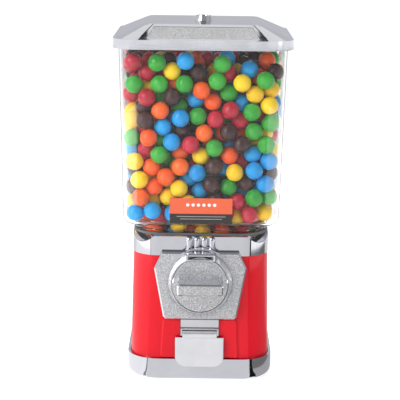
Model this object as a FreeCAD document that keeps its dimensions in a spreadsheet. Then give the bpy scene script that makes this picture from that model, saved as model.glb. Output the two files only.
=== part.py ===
"""A bulk gumball and capsule vendor: chromed tray, red body, coin mechanism with a dial, product wheel, clear
square globe and a lift-off lid, clamped together by one centre rod.

Millimetres, +Z up, the front towards -Y, and the origin in the middle of the tray's flat underside.
"""

import FreeCAD
import Part
import Sketcher
import math
import os
import random

from FreeCAD import Placement, Rotation, Vector

# Driving dimensions: each one is a cell of the sheet, with its name as the cell's alias.
DIMENSIONS = {
    # tray
    "tray_side": 172,
    "tray_corner": 38,
    "tray_top": 27,
    "tray_round": 10,
    "tray_wall": 3,
    "tray_seat": 12,
    "tray_seat_width": 3.5,
    "rod_boss_radius": 17,
    "rod_boss_top": 15,
    "stand_hole_radius": 3.5,
    "stand_pitch_radius": 45,
    # body
    "body_foot_side": 165,
    "body_top_side": 159,
    "body_corner": 34,
    "body_wall": 2,
    "body_top": 151.5,
    "opening_half": 22.8,
    "apron_top": 75.6,
    "apron_top_half": 43.5,
    "apron_bottom_half": 46.5,
    "apron_bottom": 27.5,
    "apron_front": 84.2,
    "mech_opening_half": 33,
    "mech_opening_bottom": 88,
    # collar
    "collar_side": 160,
    "collar_corner": 32,
    "collar_inner_corner": 38,
    "collar_top": 175.5,
    "collar_wall": 4,
    "collar_skirt_depth": 6,
    "ledge_bottom": 160,
    "ledge_top": 163,
    "ledge_bore": 71.5,
    "flute_radius": 4.2,
    "flute_pitch": 8.7,
    "flute_bottom": 157.5,
    "flute_top": 174.8,
    "scallop_radius": 34,
    "scallop_depth": 7,
    # wheel pan, wheel and gears
    "pan_radius": 70.5,
    "pan_wall": 1.6,
    "pan_flange_radius": 75,
    "pan_flange_top": 165.5,
    "pan_trough": 123,
    "pan_floor": 132,
    "pan_sheet": 2.5,
    "discharge_radius": 13.5,
    "wheel_radius": 68,
    "wheel_bottom": 132.6,
    "wheel_top": 159.4,
    "wheel_gear_seat": 136,
    "pocket_radius": 14,
    "pocket_pitch_radius": 42,
    "crown_teeth": 60,
    "crown_inner": 60,
    "crown_outer": 67.6,
    "crown_tip": 129.2,
    "pinion_teeth": 10,
    "pinion_pitch_radius": 10.667,
    "pinion_tip_radius": 12.0,
    "pinion_root_radius": 8.0,
    "pinion_front": 67.6,
    "pinion_back": 61.2,
    # centre rod
    "rod_radius": 4,
    "rod_bottom": 4,
    "rod_top": 411,
    # globe
    "globe_top": 398,
    "globe_top_side": 194,
    "globe_corner": 25,
    "globe_wall": 2.5,
    "globe_round": 9,
    "neck_bottom": 167,
    "neck_side": 151,
    "neck_shoulder": 178.5,
    "neck_shoulder_side": 158,
    "globe_bottom": 188,
    "globe_bottom_side": 182,
    "neck_corner": 37,
    # lid and lock
    "lid_side": 206,
    "lid_corner": 30,
    "lid_skirt_bottom": 393.5,
    "lid_skirt_top": 404.5,
    "lid_slope_side": 202.4,
    "lid_slope_top": 418.2,
    "lid_slope_top_side": 140,
    "lid_top": 419.5,
    "lid_flat_side": 132,
    "lid_wall": 3,
    "lid_panel_depth": 1.2,
    "lock_radius": 11.4,
    "lock_top_radius": 9.2,
    "lock_top": 425,
    "plug_radius": 6.9,
    # coin mechanism
    "dial_height": 120.5,
    "dial_radius": 32.3,
    "dial_front": 97.5,
    "dial_back": 93.5,
    "grip_front": 121,
    "grip_width": 53,
    "grip_height": 13.6,
    "grip_root_height": 19,
    "face_front": 88,
    "face_back": 81.4,
    "face_top": 157,
    "face_waist": 138,
    "face_bottom": 76,
    "face_top_half": 45,
    "face_waist_half": 54,
    "face_bottom_half": 43,
    "bezel_radius": 38.5,
    "bezel_front_radius": 34.4,
    "bezel_front": 97,
    "bore_radius": 33,
    "coin_wheel_radius": 27.5,
    "housing_radius": 30.5,
    "housing_back": 73,
    "back_plate_back": 71.2,
    "shaft_radius": 4,
    "block_half": 18,
    "block_top": 158,
    "block_bottom": 149.2,
    "block_front": 101,
    "ratchet_teeth": 18,
    "ratchet_tip_radius": 20,
    "ratchet_root_radius": 17.6,
    "pawl_pivot_radius": 24.3,
    # chute and door
    "hinge_forward": 86,
    "hinge_height": 58.6,
    "hinge_pin_radius": 1.5,
    "knuckle_radius": 3.6,
    "door_half": 28.5,
    "door_front": 90.3,
    "door_back": 88.3,
    "door_bottom": 19,
    "door_shoulder": 54.7,
    "door_corner": 12,
    "chute_half": 19.5,
    "chute_sheet": 1.5,
    # card
    "card_half": 36,
    "card_bottom": 192.7,
    "card_top": 222.7,
    # gumballs
    "gumball_radius": 10.2,
    "gumball_gap": 0.35,
}

DOC = FreeCAD.newDocument("vendor")
SHEET = DOC.addObject("Spreadsheet::Sheet", "Dims")
PARTS = []


class Size:
    """A size from the sheet: its number now, and the expression that keeps a property bound to the sheet."""

    def __init__(self, number, text):
        self.number = number
        self.text = text

    def joined(self, other, sign, number, swapped=False):
        pair = [self.text, other.text if isinstance(other, Size) else repr(other)]
        if swapped:
            pair.reverse()
        return Size(number, f"({pair[0]} {sign} {pair[1]})")

    def __float__(self):
        return float(self.number)

    def __add__(self, other):
        return self.joined(other, "+", self.number + float(other))

    def __sub__(self, other):
        return self.joined(other, "-", self.number - float(other))

    def __rsub__(self, other):
        return self.joined(other, "-", float(other) - self.number, swapped=True)

    def __mul__(self, other):
        return self.joined(other, "*", self.number * float(other))

    def __truediv__(self, other):
        return self.joined(other, "/", self.number / float(other))

    def __neg__(self):
        return Size(-self.number, f"(-1 * {self.text})")


class Sheet:
    """Gives each cell of the sheet by its alias, as in S.tray_side."""

    def __init__(self):
        for row, (alias, number) in enumerate(DIMENSIONS.items(), start=1):
            SHEET.set(f"A{row}", alias)
            SHEET.set(f"B{row}", str(number))
            SHEET.setAlias(f"B{row}", alias)
        DOC.recompute()
        for alias, number in DIMENSIONS.items():
            setattr(self, alias, Size(number, f"Dims.{alias}"))


S = Sheet()


def bind(thing, name, size):
    """Gives a property its size, and binds it to the sheet where the size comes from there."""
    if isinstance(size, Size):
        thing.setExpression(name, size.text)
    elif name.startswith("Placement"):
        thing.setExpression(name, repr(float(size)))
    else:
        setattr(thing, name, size)


def place(thing, x, y, z, rotation=None):
    """Puts an object's origin at a point, turned by a rotation."""
    if rotation is not None:
        thing.Placement = Placement(Vector(), rotation)
    for name, size in zip("xyz", (x, y, z)):
        bind(thing, f"Placement.Base.{name}", size)
    return thing


def keep(label, thing):
    """Names an object as one finished piece of the vendor."""
    thing.Label = label
    PARTS.append(thing)
    return thing


# --------------------------------------------------------------------------------------------------
# Part primitives and booleans

TOWARDS = {
    "Z": Rotation(),
    "X": Rotation(Vector(0, 1, 0), 90),
    "Y": Rotation(Vector(1, 0, 0), -90),
}


def box(name, x, y, z):
    """A box from its low and high x, y and z."""
    thing = DOC.addObject("Part::Box", name)
    for side, (low, high) in zip(("Length", "Width", "Height"), (x, y, z)):
        bind(thing, side, high - low)
    return place(thing, x[0], y[0], z[0])


def cylinder(name, radius, start, length, axis="Z"):
    """A cylinder from the centre of its first end, running towards +X, +Y or +Z."""
    thing = DOC.addObject("Part::Cylinder", name)
    bind(thing, "Radius", radius)
    bind(thing, "Height", length)
    return place(thing, *start, TOWARDS[axis])


def cone(name, first_radius, last_radius, start, length, axis="Z"):
    """A cone from the centre of its first end, running towards +X, +Y or +Z."""
    thing = DOC.addObject("Part::Cone", name)
    bind(thing, "Radius1", first_radius)
    bind(thing, "Radius2", last_radius)
    bind(thing, "Height", length)
    return place(thing, *start, TOWARDS[axis])


def hexagon(name, across_flats, start, length, axis="Z"):
    """A hexagonal prism, for nuts."""
    thing = DOC.addObject("Part::Prism", name)
    thing.Polygon = 6
    bind(thing, "Circumradius", across_flats / math.sqrt(3))
    bind(thing, "Height", length)
    return place(thing, *start, TOWARDS[axis])


def sphere(name, radius, centre):
    thing = DOC.addObject("Part::Sphere", name)
    bind(thing, "Radius", radius)
    return place(thing, *centre)


def fuse(name, *things):
    thing = DOC.addObject("Part::MultiFuse", name)
    thing.Shapes = list(things)
    return thing


def group(name, *things):
    """Separate solids that share one node."""
    thing = DOC.addObject("Part::Compound", name)
    thing.Links = list(things)
    return thing


def cut(name, base, *tools):
    thing = DOC.addObject("Part::Cut", name)
    thing.Base = base
    thing.Tool = tools[0] if len(tools) == 1 else fuse(name + "_tools", *tools)
    return thing


def common(name, first, second):
    thing = DOC.addObject("Part::Common", name)
    thing.Base = first
    thing.Tool = second
    return thing


# --------------------------------------------------------------------------------------------------
# PartDesign bodies and sketches


def new_body(name):
    return DOC.addObject("PartDesign::Body", name)


def sketch_in(body, name, role="XY_Plane", offset=0):
    """An empty sketch on one of its own body's planes, moved along that plane's normal."""
    sketch = body.newObject("Sketcher::SketchObject", name)
    plane = next(f for f in body.Origin.OriginFeatures if f.Role == role)
    sketch.AttachmentSupport = [(plane, "")]
    sketch.MapMode = "FlatFace"
    if isinstance(offset, Size):
        sketch.setExpression("AttachmentOffset.Base.z", offset.text)
    else:
        sketch.AttachmentOffset = Placement(Vector(0, 0, offset), Rotation())
    return sketch


def dimension(sketch, kind, where, size, name):
    """One driving dimension of a sketch, bound to the sheet."""
    index = sketch.addConstraint(Sketcher.Constraint(kind, *where, float(size)))
    sketch.renameConstraint(index, name)
    if isinstance(size, Size):
        sketch.setExpression(f"Constraints.{name}", size.text)


def rounded_rectangle(body, name, width, depth, corner, offset=0, role="XY_Plane"):
    """A sketch of a rectangle with rounded corners, centred on the origin."""
    sketch = sketch_in(body, name, role, offset)
    w, d, r = float(width) / 2, float(depth) / 2, float(corner)
    ends = [
        (-w + r, -d), (w - r, -d), (w, -d + r), (w, d - r),
        (w - r, d), (-w + r, d), (-w, d - r), (-w, -d + r),
    ]
    corners = [(w - r, -d + r, 270), (w - r, d - r, 0), (-w + r, d - r, 90), (-w + r, -d + r, 180)]
    for k in range(4):
        first, last = Vector(*ends[2 * k], 0), Vector(*ends[2 * k + 1], 0)
        sketch.addGeometry(Part.LineSegment(first, last), False)
    for x, y, start in corners:
        circle = Part.Circle(Vector(x, y, 0), Vector(0, 0, 1), r)
        arc = Part.ArcOfCircle(circle, math.radians(start), math.radians(start + 90))
        sketch.addGeometry(arc, False)
    for k in range(4):
        arc, following = 4 + k, (k + 1) % 4
        sketch.addConstraint(Sketcher.Constraint("Tangent", k, 2, arc, 1))
        sketch.addConstraint(Sketcher.Constraint("Tangent", arc, 2, following, 1))
        sketch.addConstraint(Sketcher.Constraint("Vertical" if k % 2 else "Horizontal", k))
    for k in range(5, 8):
        sketch.addConstraint(Sketcher.Constraint("Equal", 4, k))
    sketch.addConstraint(Sketcher.Constraint("Symmetric", 5, 3, 7, 3, -1, 1))
    dimension(sketch, "Radius", (4,), corner, "corner")
    dimension(sketch, "DistanceX", (3, 1, 1, 1), width, "width")
    dimension(sketch, "DistanceY", (0, 1, 2, 1), depth, "depth")
    return sketch


def outline(body, name, points, role="XY_Plane", offset=0):
    """A sketch of a closed outline with straight sides, each corner held by its distances from the origin."""
    sketch = sketch_in(body, name, role, offset)
    spots = [Vector(float(x), float(y), 0) for x, y in points]
    for first, last in zip(spots, spots[1:] + spots[:1]):
        sketch.addGeometry(Part.LineSegment(first, last), False)
    for k in range(len(points)):
        sketch.addConstraint(Sketcher.Constraint("Coincident", k, 2, (k + 1) % len(points), 1))
    for k, (x, y) in enumerate(points):
        for kind, size, axis in (("DistanceX", x, -2), ("DistanceY", y, -1)):
            if abs(float(size)) < 1e-9:
                sketch.addConstraint(Sketcher.Constraint("PointOnObject", k, 1, axis))
            else:
                dimension(sketch, kind, (-1, 1, k, 1), size, f"{kind[-1].lower()}{k}")
    return sketch


def loft(body, kind, name, sketches):
    """A straight-sided loft through sketches; kind is Additive or Subtractive."""
    feature = body.newObject(f"PartDesign::{kind}Loft", name)
    feature.Profile = sketches[0]
    feature.Sections = sketches[1:]
    feature.Ruled = True
    return feature


def rounded_loft(body, kind, name, sections):
    """A loft through rounded squares, each given as (height, side, corner)."""
    sketches = [
        rounded_rectangle(body, f"{name}_{k}", side, side, corner, height)
        for k, (height, side, corner) in enumerate(sections)
    ]
    return loft(body, kind, name, sketches)


def rounded_pad(body, name, bottom, top, side, corner, lean=0):
    """A rounded square padded from one height to another, its walls leaning out by a rise over run."""
    base = rounded_rectangle(body, name + "_base", side, side, corner, bottom)
    feature = pad(body, base, name, top - bottom)
    if float(lean):
        degrees = math.degrees(math.atan(float(lean)))
        bind(feature, "TaperAngle", Size(degrees, f"atan({lean.text})"))
    return feature


def round_edges(body, feature, name, radius, chosen):
    """Fillets the edges of a feature that the chosen test picks."""
    DOC.recompute()
    names = [f"Edge{k + 1}" for k, edge in enumerate(feature.Shape.Edges) if chosen(edge)]
    fillet = body.newObject("PartDesign::Fillet", name)
    fillet.Base = (feature, names)
    bind(fillet, "Radius", radius)
    return fillet


def chamfer_edges(body, feature, name, size, chosen):
    """Chamfers the edges of a feature that the chosen test picks."""
    DOC.recompute()
    names = [f"Edge{k + 1}" for k, edge in enumerate(feature.Shape.Edges) if chosen(edge)]
    chamfer = body.newObject("PartDesign::Chamfer", name)
    chamfer.Base = (feature, names)
    bind(chamfer, "Size", size)
    return chamfer


def level(height):
    """A test for edges that lie all at one height."""
    return lambda edge: all(abs(v.Z - float(height)) < 1e-4 for v in edge.Vertexes)


def pad(body, sketch, name, length):
    feature = body.newObject("PartDesign::Pad", name)
    feature.Profile = sketch
    bind(feature, "Length", length)
    return feature


def turned(name, points):
    """A body turned about Z from a closed outline of (radius, height) corners."""
    body = new_body(name)
    sketch = outline(body, name + "_profile", points, "XZ_Plane")
    feature = body.newObject("PartDesign::Revolution", name + "_turn")
    feature.Profile = sketch
    feature.ReferenceAxis = (sketch, ["V_Axis"])
    feature.Angle = 360
    return body


def polar(body, feature, name, count):
    """Repeats a feature round its body's Z axis."""
    pattern = body.newObject("PartDesign::PolarPattern", name)
    pattern.Originals = [feature]
    pattern.Axis = (next(f for f in body.Origin.OriginFeatures if f.Role == "Z_Axis"), [""])
    pattern.Angle = 360
    pattern.Occurrences = int(count)
    body.Tip = pattern
    return pattern


def block(name, sections):
    """A body of rounded squares stacked up as (height, side, corner); its walls run straight between them."""
    body = new_body(name)
    rounded_loft(body, "Additive", name + "_loft", sections)
    return body


def disc(name, radius, start, length, bore, axis="Z"):
    """A disc or sleeve with a bore right through."""
    return cut(name, cylinder(name + "_rim", radius, start, length, axis),
               cylinder(name + "_bore", bore, start, length, axis))


def prism(name, points, first, last):
    """A straight-sided outline in the XY plane, padded from one height to another."""
    body = new_body(name)
    pad(body, outline(body, name + "_outline", points, "XY_Plane", first), name + "_pad", last - first)
    return body


SIDEWAYS = Rotation(Vector(1, 1, 1), 120)


def side_profile(name, points, half):
    """A solid given by its outline seen from the side, as (y, z) corners, and its half width."""
    body = prism(name, points, -half, half)
    return place(body, 0, 0, 0, SIDEWAYS)


# --------------------------------------------------------------------------------------------------
# Tray, body and collar


def base_tray():
    wall, seat_wall = S.tray_wall, S.tray_wall + S.tray_seat_width
    shell = new_body("tray_shell")
    slab = rounded_pad(shell, "tray_outer", 0, S.tray_top, S.tray_side, S.tray_corner)
    round_edges(shell, slab, "tray_round_edge", S.tray_round, level(0))
    well = block("tray_well", [
        (S.tray_seat, S.tray_side - wall * 2, S.tray_corner - wall),
        (S.tray_top + 1, S.tray_side - wall * 2, S.tray_corner - wall),
    ])
    floor = block("tray_floor", [
        (wall, S.tray_side - seat_wall * 2, S.tray_corner - seat_wall),
        (S.tray_seat + 1, S.tray_side - seat_wall * 2, S.tray_corner - seat_wall),
    ])
    boss = cylinder("rod_boss", S.rod_boss_radius, (0, 0, 0), S.rod_boss_top)
    socket = cylinder("rod_socket", S.rod_radius, (0, 0, S.rod_bottom), S.rod_boss_top)
    at = S.stand_pitch_radius / math.sqrt(2)
    holes = [
        cylinder(f"stand_hole_{i}{j}", S.stand_hole_radius, (at * i, at * j, 0), wall)
        for i in (-1, 1) for j in (-1, 1)
    ]
    hollow = cut("tray_hollow", shell, well, floor)
    keep("base_tray", cut("base_tray", fuse("tray_and_boss", hollow, boss), socket, *holes))


def body_shell():
    wall = S.body_wall
    outer = block("shell_outer", [
        (S.tray_seat, S.body_foot_side, S.body_corner),
        (S.body_top, S.body_top_side, S.body_corner),
    ])
    inner = block("shell_inner", [
        (S.tray_seat, S.body_foot_side - wall * 2, S.body_corner - wall),
        (S.body_top, S.body_top_side - wall * 2, S.body_corner - wall),
    ])
    apron = new_body("apron")
    half_top, half_foot = S.apron_top_half, S.apron_bottom_half
    corners = [(-half_foot, S.apron_bottom), (half_foot, S.apron_bottom), (half_top, S.apron_top),
               (-half_top, S.apron_top)]
    raised = pad(apron, outline(apron, "apron_outline", corners, "XY_Plane"), "apron_pad", APRON_DEPTH)
    chamfer_edges(apron, raised, "apron_bevel", APRON_BEVEL, level(APRON_DEPTH))
    place(apron, 0, -(S.apron_front - APRON_DEPTH), 0, TO_FRONT)
    half, wide = S.opening_half, S.mech_opening_half
    through = (-BEYOND_FRONT, -INSIDE_FRONT)
    chute_way = box("chute_way", (-half, half), through, (S.apron_bottom - 1.5, S.body_top))
    mech_way = box("mech_way", (-wide, wide), through, (S.mech_opening_bottom, S.body_top))
    studs = [
        cylinder(f"shell_stud_hole_{x}_{z}", STUD_RADIUS + 0.3, (x, -BEYOND_FRONT, z), 30, "Y")
        for x in (-STUD_X, STUD_X) for z in STUD_HEIGHTS
    ]
    solid = cut("shell_skin", fuse("shell_with_apron", outer, apron), inner, chute_way, mech_way)
    keep("body_shell", cut("body_shell", solid, *studs))


def top_collar():
    wall = S.collar_wall
    inner_side, inner_corner = S.collar_side - wall * 2, S.collar_inner_corner
    tongue_side = S.body_top_side - S.body_wall * 2 - 0.6
    tongue_bottom = S.body_top - S.collar_skirt_depth
    outer = new_body("collar_outer")
    raised = rounded_pad(outer, "collar_outer_pad", S.body_top, S.collar_top, S.collar_side, S.collar_corner)
    chamfer_edges(outer, raised, "collar_rim_bevel", 1.2, level(S.collar_top))
    tongue = block("collar_tongue", [
        (tongue_bottom, tongue_side, S.body_corner - 2.3),
        (S.body_top + 1, tongue_side, S.body_corner - 2.3),
    ])
    above = block("collar_above", [
        (S.ledge_top, inner_side, inner_corner),
        (S.collar_top + 1, inner_side, inner_corner),
    ])
    below = block("collar_below", [
        (tongue_bottom - 1, tongue_side - 4, S.body_corner - 4.3),
        (S.ledge_bottom, tongue_side - 4, S.body_corner - 4.3),
    ])
    bore = cylinder("collar_bore", S.ledge_bore, (0, 0, S.ledge_bottom - 1), 6)
    notch = box("collar_notch", (-S.mech_opening_half, S.mech_opening_half), (-BEYOND_FRONT, -INSIDE_FRONT),
                (tongue_bottom - 1, S.body_top))
    flutes = []
    for k in range(FLUTES):
        x = S.flute_pitch * (k - (FLUTES - 1) / 2)
        dome_height = S.flute_top - S.flute_radius
        rod = cylinder(f"flute_{k}", S.flute_radius, (x, -S.collar_side / 2 + 0.1, S.flute_bottom),
                       dome_height - S.flute_bottom)
        flutes += [rod, sphere(f"flute_dome_{k}", S.flute_radius, (x, -S.collar_side / 2 + 0.1, dome_height))]
    scallops = []
    for k in range(4):
        scoop = DOC.addObject("Part::Cone", f"scallop_{k}")
        bind(scoop, "Radius1", S.scallop_radius - SCALLOP_INWARD)
        bind(scoop, "Radius2", S.scallop_radius + SCALLOP_OUTWARD)
        bind(scoop, "Height", SCALLOP_LENGTH)
        turn = math.radians(45 + 90 * k)
        outward = Vector(math.cos(turn), math.sin(turn), 0)
        centre_height = S.collar_top - S.scallop_depth + S.scallop_radius
        start = outward * SCALLOP_REACH
        place(scoop, start.x, start.y, centre_height, Rotation(Vector(0, 0, 1), outward))
        scallops.append(scoop)
    solid = fuse("collar_solid", outer, tongue, *flutes)
    keep("top_collar", cut("top_collar", solid, above, below, bore, notch, *scallops))


# --------------------------------------------------------------------------------------------------
# Wheel pan, product wheel and gears


def wheel_pan():
    clear_rod = S.rod_radius + 0.3
    inner = S.pan_radius - S.pan_wall
    floor_bottom = S.pan_floor - S.pan_sheet
    trough_floor = S.pan_trough + S.pan_sheet
    pan = turned("pan_turned", [
        (clear_rod, floor_bottom),
        (TROUGH_INNER - 2, floor_bottom),
        (TROUGH_INNER - 2, S.pan_trough),
        (S.pan_radius, S.pan_trough),
        (S.pan_radius, S.ledge_top),
        (S.pan_flange_radius, S.ledge_top),
        (S.pan_flange_radius, S.pan_flange_top),
        (inner, S.pan_flange_top),
        (inner, trough_floor),
        (TROUGH_INNER, trough_floor),
        (TROUGH_INNER, S.pan_floor),
        (clear_rod, S.pan_floor),
    ])
    at_hole = (0, -S.pocket_pitch_radius, SPOUT_BOTTOM)
    spout = cylinder("discharge_spout", S.discharge_radius + 1.2, at_hole, S.pan_floor - SPOUT_BOTTOM)
    discharge = cylinder("discharge_hole", S.discharge_radius, at_hole, S.pan_floor - SPOUT_BOTTOM + 1)
    pinion_way = box("pinion_way", (-PINION_WAY_HALF, PINION_WAY_HALF),
                     (-S.pan_radius - 1, -TROUGH_INNER + 3), (S.pan_trough - 1, S.pan_floor + 0.2))
    keep("wheel_pan", cut("wheel_pan", fuse("pan_and_spout", pan, spout), discharge, pinion_way))


def product_wheel():
    bore = S.rod_radius + 0.4
    wheel = turned("wheel_turned", [
        (bore, S.wheel_bottom),
        (S.crown_inner - 0.5, S.wheel_bottom),
        (S.crown_inner - 0.5, S.wheel_gear_seat),
        (S.wheel_radius, S.wheel_gear_seat),
        (S.wheel_radius, S.wheel_top),
        (bore, S.wheel_top),
    ])
    pockets = []
    height = S.wheel_top - S.wheel_bottom
    for k in range(POCKETS):
        turn = math.radians(270 + 360 * k / POCKETS)
        x, y = S.pocket_pitch_radius * math.cos(turn), S.pocket_pitch_radius * math.sin(turn)
        pockets.append(cylinder(f"pocket_{k}", S.pocket_radius, (x, y, S.wheel_bottom), height))
        pockets.append(cone(f"pocket_mouth_{k}", S.pocket_radius, S.pocket_radius + 3,
                            (x, y, S.wheel_top - 3), 3))
    keep("product_wheel", cut("product_wheel", wheel, *pockets))


def crown_gear():
    """A ring with teeth that hang down, set under the product wheel's rim."""
    thick = S.wheel_gear_seat - CROWN_ROOT
    ring = disc("crown_ring", S.crown_outer, (0, 0, CROWN_ROOT), thick, S.crown_inner)
    body = new_body("crown_teeth")
    depth = CROWN_ROOT + 0.2 - S.crown_tip
    sketches = []
    for name, y in (("inner", -S.crown_inner - 0.2), ("outer", -S.crown_outer + 0.2)):
        share = float(y) / -CROWN_PITCH_RADIUS
        root, tip = CROWN_ROOT_THICK / 2 * share, CROWN_TIP_THICK / 2 * share
        low, high = S.crown_tip, S.crown_tip + depth
        points = [(-tip, low), (tip, low), (root, high), (-root, high)]
        sketches.append(outline(body, f"crown_tooth_{name}", points, "XZ_Plane", -y))
    tooth = loft(body, "Additive", "crown_tooth", sketches)
    polar(body, tooth, "crown_tooth_ring", float(S.crown_teeth))
    keep("crown_gear", fuse("crown_gear", ring, body))


def toothed_wheel(name, root, count, tooth, length, first_turn):
    """A toothed wheel about Z: a core, and one tooth, as (along, across) corners, repeated round it."""
    body = new_body(name + "_blank")
    core = sketch_in(body, name + "_core", "XY_Plane")
    core.addGeometry(Part.Circle(Vector(0, 0, 0), Vector(0, 0, 1), float(root)), False)
    core.addConstraint(Sketcher.Constraint("Coincident", 0, 3, -1, 1))
    dimension(core, "Radius", (0,), root, "root")
    pad(body, core, name + "_core_pad", length)
    turn = math.radians(first_turn)
    points = [
        (along * math.cos(turn) - across * math.sin(turn), along * math.sin(turn) + across * math.cos(turn))
        for along, across in tooth
    ]
    one = pad(body, outline(body, name + "_tooth", points, "XY_Plane"), name + "_tooth_pad", length)
    polar(body, one, name + "_teeth", count)
    return body


def on_shaft(name, body, back, length):
    """Turns a wheel made about Z to face the front on the dial's axis, and bores it for the shaft."""
    place(body, 0, -back, S.dial_height, TO_FRONT)
    hole = cylinder(name + "_bore", S.shaft_radius, (0, -back - length - 1, S.dial_height), length + 2, "Y")
    return keep(name, cut(name, body, hole))


def drive_pinion():
    tip, root = S.pinion_tip_radius, S.pinion_root_radius
    pitch = S.pinion_pitch_radius
    tooth = [(root - 0.6, -1.75), (root + 0.3, -1.6), (pitch, -PINION_THICK / 2), (tip, -0.75), (tip, 0.75),
             (pitch, PINION_THICK / 2), (root + 0.3, 1.6), (root - 0.6, 1.75)]
    length = S.pinion_front - S.pinion_back
    body = toothed_wheel("pinion", root, float(S.pinion_teeth), tooth, length, 90 + PINION_TURN)
    on_shaft("drive_pinion", body, S.pinion_back, length)


def ratchet_wheel():
    tip, root = S.ratchet_tip_radius, S.ratchet_root_radius
    tooth = [(root - 0.8, -2.9), (tip, -0.4), (tip, 0.3), (root - 0.8, 0.3)]
    body = toothed_wheel("ratchet", root, float(S.ratchet_teeth), tooth, RATCHET_THICK, 0)
    on_shaft("ratchet_wheel", body, RATCHET_BACK, RATCHET_THICK)


# --------------------------------------------------------------------------------------------------
# Coin mechanism


def coin_faceplate():
    """A cast crest with bevelled edges, a raised cone round the dial, and a bore the dial turns in."""
    thick = S.face_front - S.face_back
    plate = new_body("face_crest")
    centre = S.dial_height
    corners = [(-S.face_bottom_half + 3, S.face_bottom), (S.face_bottom_half - 3, S.face_bottom),
               (S.face_bottom_half, S.face_bottom + 3), (S.face_waist_half, S.face_waist),
               (S.face_top_half, S.face_top), (-S.face_top_half, S.face_top),
               (-S.face_waist_half, S.face_waist), (-S.face_bottom_half, S.face_bottom + 3)]
    slab = pad(plate, outline(plate, "crest_outline", corners, "XY_Plane"), "crest_pad", thick)
    chamfer_edges(plate, slab, "crest_bevel", FACE_BEVEL, level(thick))
    place(plate, 0, -S.face_back, 0, TO_FRONT)
    bezel = DOC.addObject("Part::Cone", "bezel_cone")
    bind(bezel, "Radius1", S.bezel_radius)
    bind(bezel, "Radius2", S.bezel_front_radius)
    bind(bezel, "Height", S.bezel_front - S.face_front)
    place(bezel, 0, -S.face_front, centre, TO_FRONT)
    ring = disc("raised_ring", S.bezel_radius + 3.6, (0, -S.face_front - 0.7, centre), 0.8,
                S.bezel_radius + 1.2, "Y")
    bore = cylinder("face_bore", S.bore_radius, (0, -S.bezel_front - 1, centre), 20, "Y")
    half = S.block_half
    over_face = (-S.block_front, -S.face_front)
    seat = box("block_seat", (-half, half), over_face, (S.block_bottom, S.block_top + 3))
    keep("coin_faceplate", cut("coin_faceplate", fuse("face_solid", plate, bezel, ring), bore, seat))


def coin_slot_block():
    """A chromed hood over the dial: coins drop edgewise through its top slot and show in its window."""
    half = S.block_half
    hood = new_body("slot_hood")
    corners = [(-half, S.block_bottom), (half, S.block_bottom), (half, S.block_top), (-half, S.block_top)]
    depth = S.block_front - S.face_front
    solid = pad(hood, outline(hood, "hood_outline", corners, "XY_Plane"), "hood_pad", depth)
    chamfer_edges(hood, solid, "hood_bevel", 1, level(depth))
    place(hood, 0, -S.face_front, 0, TO_FRONT)
    under = cylinder("hood_under", S.bore_radius, (0, -HOOD_INNER, S.dial_height), 20, "Y")
    window = box("hood_window", (-WINDOW_HALF, WINDOW_HALF), (-S.block_front - 1, -S.face_front - 2),
                 (S.block_bottom + 1.8, S.block_top - 2))
    slot = box("hood_slot", (-COIN_RADIUS, COIN_RADIUS), (-COIN_FRONT, -COIN_BACK),
               (S.block_bottom, S.block_top + 1))
    keep("coin_slot_block", cut("coin_slot_block", hood, under, window, slot))


def coin_wheel():
    """Carries the coin round behind the dial in a notch at its top."""
    front, back = S.dial_back, COIN_WHEEL_BACK
    rim = cylinder("coin_wheel_rim", S.coin_wheel_radius, (0, -front, S.dial_height), front - back, "Y")
    shaft = cylinder("coin_wheel_bore", S.shaft_radius, (0, -front - 1, S.dial_height), 20, "Y")
    seat_height = S.dial_height + S.coin_wheel_radius - COIN_RADIUS
    seat = cylinder("coin_seat", COIN_RADIUS, (0, -COIN_FRONT, seat_height), COIN_FRONT - COIN_BACK, "Y")
    mouth = box("coin_mouth", (-COIN_RADIUS, COIN_RADIUS), (-COIN_FRONT, -COIN_BACK),
                (seat_height, seat_height + 2 * COIN_RADIUS))
    keep("coin_wheel", cut("coin_wheel", rim, shaft, seat, mouth))


def turn_handle():
    """The dial: a cast disc with a tapered bar across it to turn it by."""
    body = new_body("turn_handle")
    face = sketch_in(body, "dial_circle", "XY_Plane", S.dial_back)
    face.addGeometry(Part.Circle(Vector(0, 0, 0), Vector(0, 0, 1), float(S.dial_radius)), False)
    face.addConstraint(Sketcher.Constraint("Coincident", 0, 3, -1, 1))
    dimension(face, "Radius", (0,), S.dial_radius, "radius")
    thick = S.dial_front - S.dial_back
    dial = pad(body, face, "dial_pad", thick)
    chamfer_edges(body, dial, "dial_edge", 0.5, level(S.dial_front))
    sections = []
    shoulder = S.grip_front - 2.2
    for k, (depth, width, height) in enumerate([
        (S.dial_front - 0.5, S.grip_width + 1, S.grip_root_height),
        (shoulder, S.grip_width, S.grip_height),
        (S.grip_front, S.grip_width - 3.4, S.grip_height - 3.4),
    ]):
        sections.append(rounded_rectangle(body, f"grip_{k}", width, height, 2.8 if k < 2 else 1.6, depth))
    loft(body, "Additive", "grip_loft", sections)
    keep("turn_handle", place(body, 0, 0, S.dial_height, TO_FRONT))


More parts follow.
